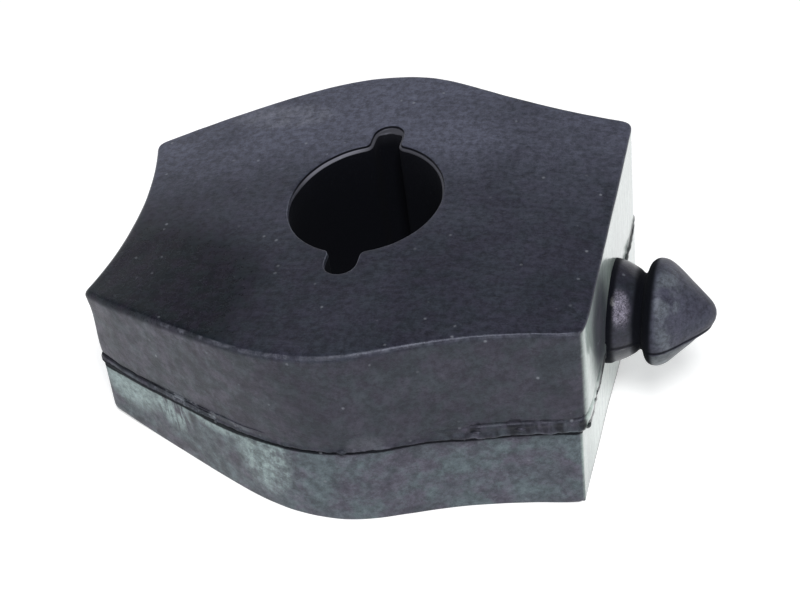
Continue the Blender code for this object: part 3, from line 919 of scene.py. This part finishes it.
def crease_over(f, wave, lumpy):
    """Painted shade in the crease: black along a wavy line over the seam, by the squared distance
    from it.
    """
    away = f.z - 1.60 + f.left * 0.90 + wave * 0.5 + f.right * (lumpy - 0.5) * 0.9
    creased = f.step(f.x, -22.0, -30.0) * f.near + f.right * f.step(lumpy, 0.75, 0.15)
    return f.step(away * away, 0.16, 0.01) * creased * (1.0 - 0.3 * f.right)


def seam_marks(f, colour):
    """Painted shade in black in the gap, the crease and under the lip; the vent's nub and the band
    in the colour.
    """
    wave = f.noise(f.mould, 0.35, 3.0) * 0.5 - 0.25
    lumpy = f.step(f.noise(f.stretched(f.mould, (1.0, 1.0, 0.5)), 0.55, 3.0), 0.36, 0.60)
    vent = f.spot(f.x, f.z, 6.6, 0.6, 3.6, 2.6) * f.near * (1.0 - f.roof)
    colour = f.mix(vent * 0.28, colour, rgb(0.16, 0.16, 0.19))
    band = f.right * f.step(f.z, -0.9, -0.5) * f.step(f.z, 1.5, 1.2)
    colour = f.scaled(colour, 1.0 + band * (lumpy * 1.3 - 0.85))
    # painted shade under the lip on the near left, in black
    lip = f.step(f.x, -8.0, -18.0) * f.near * f.step(f.z + wave * 0.6, 0.05, -0.20)
    lip = lip * f.step(f.z, -1.85, -1.60)
    return colour, f.larger(f.larger(seam_gap(f, wave), crease_over(f, wave, lumpy) * 0.85), lip)


colour, seam = seam_marks(f, colour)
print("seam:", len(f.tree.nodes), "nodes")

# %% [markdown]
# ## Rims, bore and floor edge
# The near side of the bore's mouth and the roof's near rim carry a grey line of painted highlight,
# broken up by noise. The far side of the mouth is painted black, as painted shade, and under it a
# small ledge is painted lighter, as painted highlight. Below the ledge the bore swallows nearly all
# light, and the paint for that painted shade is close to pure black.

# %% The marks that lie on top
def painted_rim_highlights(f, colour):
    """Painted highlight: a grey line at a small depth under the roof, round the near side of the
    bore's mouth and along the near rim.
    """
    # painted highlight round the near side of the bore's mouth
    mouth_highlight = f.by_bore * (1.0 - f.far) * f.step(f.drop, -0.08, -0.14) * f.step(f.drop, -0.40, -0.30)
    colour = f.mix(mouth_highlight * 0.8, colour, rgb(0.15, 0.16, 0.20))
    # painted highlight along the roof's near rim, broken up by noise, fainter to the right
    edge = (1.0 - f.by_bore) * f.step(f.drop, -0.12, -0.22) * f.step(f.drop, -0.75, -0.40) * f.near
    edge = edge * (0.15 + 0.85 * f.step(f.smear, 0.40, 0.62)) * f.step(f.x, -31.0, -22.0)
    edge = edge * (1.0 - 0.45 * f.step(f.x, 8.0, 18.0))
    return f.mix(edge * 0.42, colour, rgb(0.16, 0.165, 0.20))


def chips_and_ledge(f, colour, foot):
    """Pale chips over the seam, the mouth's far side painted black as shade, the ledge under it
    painted lighter as highlight, and the grey floor edge.
    """
    chips = f.spot(f.x, f.z, -21.0, 0.8, 11.0, 1.0) * f.step(f.smear, 0.47, 0.60) * f.near
    colour = f.mix(chips * 0.7, colour, rgb(0.24, 0.26, 0.29))
    # painted shade: the far side of the bore's mouth, in black
    mouth = f.by_bore * f.step(f.drop, -0.12, -0.18) * f.far
    colour = f.mix(mouth, colour, MOUTH_SHADE_BLACK)
    # painted highlight on the ledge, brightest at its left
    ledge = f.by_bore * f.far * f.step(f.drop, -0.50, -0.57)
    lit = 0.35 + 0.65 * f.spot(f.x, f.y, -8.5, 13.0, 7.0, 9.0)
    colour = f.mix(ledge * lit, colour, rgb(0.175, 0.175, 0.205))
    return f.mix(foot, colour, rgb(0.09, 0.10, 0.10))


colour = painted_rim_highlights(f, colour)
gain = f.mottling(0.08 + 0.18 * f.roof)
gain = gain + (1.0 - gain) * (0.20 * (1.0 - f.roof) + 0.55 * f.end)
# painted shade: the gap, crease and lip underside are painted near black
colour = f.mix(seam * SEAM_SHARE, f.scaled(colour, gain), SEAM_AND_SHADE_BLACK)
foot = f.end * f.step(f.z + f.x * FLOOR_FALL, -14.3, -14.9) * 0.75
colour = chips_and_ledge(f, colour, foot)
# painted shade: the bore below the ledge is painted near black, a little less in the far notch
in_notch = f.step(f.y, 15.4, 16.4) * f.step(f.drop, -3.5, -1.2)
deep = f.by_bore * f.step(f.drop, -0.82, -0.95) * (1.0 - in_notch * 0.12)
block_rubber = f.satin(
    colour, dry=f.step(wax_and_sheen, -0.10, 0.55) * f.roof + (1.0 - f.roof), painted_shade=deep, seam=seam,
    matt=plug_shade * f.end * 0.5, calm=1.0 - 0.9 * f.spot(f.x, f.y, -38.0, -22.0, 36.0, 32.0) * f.roof,
    shine=f.end * (1.0 - plug_shade) * (1.0 - foot))

# %% [markdown]
# ## The pieces take their place
# All three pieces are the same rubber and move with the one body. They stand for the packed
# model's solid, which is hidden and stays as the shape for collisions.

# %% Finishes and body
for piece, material in ((block, block_rubber), (plug, plug_rubber), (flash, block_rubber)):
    piece.data.materials.append(material)
    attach(piece, "root")
    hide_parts("rubber_mount")
print("three pieces ride on root")

# %% [markdown]
# ## Table and light
# The part lies in a white bowl, as in a small photo tent: a flat table that curves up into a low
# wall all round, under a duller ceiling. A camera ray sees the bowl a little brighter than it is,
# so that it is white where nothing shades it, and it still keeps the soft shadow under the block.
# Glossy rays see the same white. That is what makes the end face shine at a low angle, and what
# makes the roof brighter towards its far side.

# %% White paper
PAPER, GLOW = 0.80, 0.50  # its shade, and how much brighter it looks


def white_paper():
    """Diffuse paper, and paper with a glow for camera, glossy and transmission rays."""
    f = Finish("white_paper")
    camera_ray, glossy_ray, through_ray = (f.node("ShaderNodeLightPath", out=i) for i in (0, 3, 6))
    paper = f.node("ShaderNodeBsdfDiffuse", {}, {"Color": rgb(PAPER, PAPER, PAPER)})
    place = f.node("ShaderNodeTexCoord", out=3)
    from_middle = f.node("ShaderNodeVectorMath", {"operation": "LENGTH"}, {0: place}, out=1)
    open_floor = f.step(from_middle, 0.020, 0.028)  # no glow on the floor inside the bore
    seen = f.larger(f.larger(camera_ray, glossy_ray * open_floor), through_ray)
    glow = f.node("ShaderNodeEmission", {}, {"Color": rgb(1, 1, 1), "Strength": GLOW})
    both = f.node("ShaderNodeAddShader", {}, {0: paper, 1: glow})
    shown = f.node("ShaderNodeMixShader", {}, {0: seen, 1: paper, 2: both})
    f.node("ShaderNodeOutputMaterial", {}, {"Surface": shown})
    return f.material


paper = white_paper()
print("paper glows by", GLOW)

# %% White bowl
FLAT, BEND, WALL_HEIGHT = 0.6, 0.25, 0.40  # m: flat floor, bend and top of the wall
BOWL_TURNS = 96


def white_bowl(paper):
    """A profile (radius, height) turned about Z: flat, then a quarter circle, then a wall."""
    bend = np.linspace(0.0, math.pi / 2, 12)
    radius = np.concatenate([[0.0005, 0.25, 0.5], FLAT + BEND * np.sin(bend), [FLAT + BEND]])
    height = np.concatenate([[0.0, 0.0, 0.0], BEND * (1 - np.cos(bend)), [WALL_HEIGHT]])
    radius, height = radius[:, None], height[:, None]
    angle = np.linspace(0.0, math.tau, BOWL_TURNS, endpoint=False)
    points = np.stack([radius * np.cos(angle), radius * np.sin(angle), height + 0 * angle], axis=2)
    quads = grid_faces(len(radius), BOWL_TURNS, False)[:, ::-1].tolist()
    mesh = smooth_mesh("bowl", points.reshape(-1, 3), quads + [list(range(BOWL_TURNS))])
    mesh.materials.append(paper)
    linked("bowl", mesh)


white_bowl(paper)
wall_end = math.degrees(math.atan(WALL_HEIGHT / (FLAT + BEND)))
print("bowl wall ends", round(wall_end, 1), "degrees up")

# %% Ceiling
CEILING, CEILING_STRENGTH = rgb(0.90, 0.94, 1.0), 0.22
world = bpy.data.worlds.new("ceiling")
bpy.context.scene.world = world
world.use_nodes = True
background = world.node_tree.nodes["Background"]
background.inputs["Color"].default_value = CEILING
background.inputs["Strength"].default_value = CEILING_STRENGTH
print("ceiling at", CEILING_STRENGTH)

# %% [markdown]
# ## One soft lamp
# A square lamp high on the near side stands for a window. It is large for its distance, so the
# shadows stay soft, and it models the rims and the plug without a hard glint.

# %% The window
def placed(right, up, back, place):
    """A matrix whose columns are the directions right, up and back, and the place."""
    return Matrix([[right[i], up[i], back[i], place[i]] for i in range(3)] + [[0, 0, 0, 1]])


def soft_lamp(name, place, aim, size, watts):
    """A square area lamp at a place, in metres, turned so that its -Z points at aim."""
    light = bpy.data.lights.new(name, "AREA")
    light.size, light.energy = size, watts
    back = np.array(place) - np.array(aim)
    back /= np.linalg.norm(back)
    right = np.cross([0.0, 0.0, 1.0], back)
    right /= np.linalg.norm(right)
    up = np.cross(back, right)
    linked(name, light).matrix_world = placed(right, up, back, place)


soft_lamp("window", place=(0.12, -0.36, 0.66), aim=(0.0, 0.0, 0.02), size=0.22, watts=4.2)
print("one lamp is set")

# %% [markdown]
# ## Camera
# The view was fitted to the photograph's edges: 15.5 degrees round to the plug's side, looking down
# by 42.5 degrees, from 30 cm away, with the camera rolled a little. The lens is given as the focal
# length that a sensor 36 mm wide would need.

# %% Camera at the photograph's place
AZIMUTH, ELEVATION, ROLL = map(math.radians, (15.50, 42.54, -3.52))
EYE = (0.054131, -0.203151, 0.208620)  # m
FOCAL_LENGTH, SENSOR_WIDTH = 81.557, 36.0  # mm
lens = bpy.data.cameras.new("camera")
lens.lens, lens.sensor_width, lens.sensor_fit = FOCAL_LENGTH, SENSOR_WIDTH, "HORIZONTAL"
lens.clip_start = 0.01
camera = linked("camera", lens)
back = np.array([math.sin(AZIMUTH) * math.cos(ELEVATION),
                 -math.cos(AZIMUTH) * math.cos(ELEVATION), math.sin(ELEVATION)])
level_right = np.array([math.cos(AZIMUTH), math.sin(AZIMUTH), 0.0])
level_up = np.cross(back, level_right)
right = math.cos(ROLL) * level_right + math.sin(ROLL) * level_up
up = math.cos(ROLL) * level_up - math.sin(ROLL) * level_right
camera.matrix_world = placed(right, up, back, EYE)
bpy.context.scene.camera = camera
bpy.context.scene.view_settings.view_transform = "Standard"
print("camera", round(float(np.linalg.norm(EYE)), 3), "m from the middle of the floor")
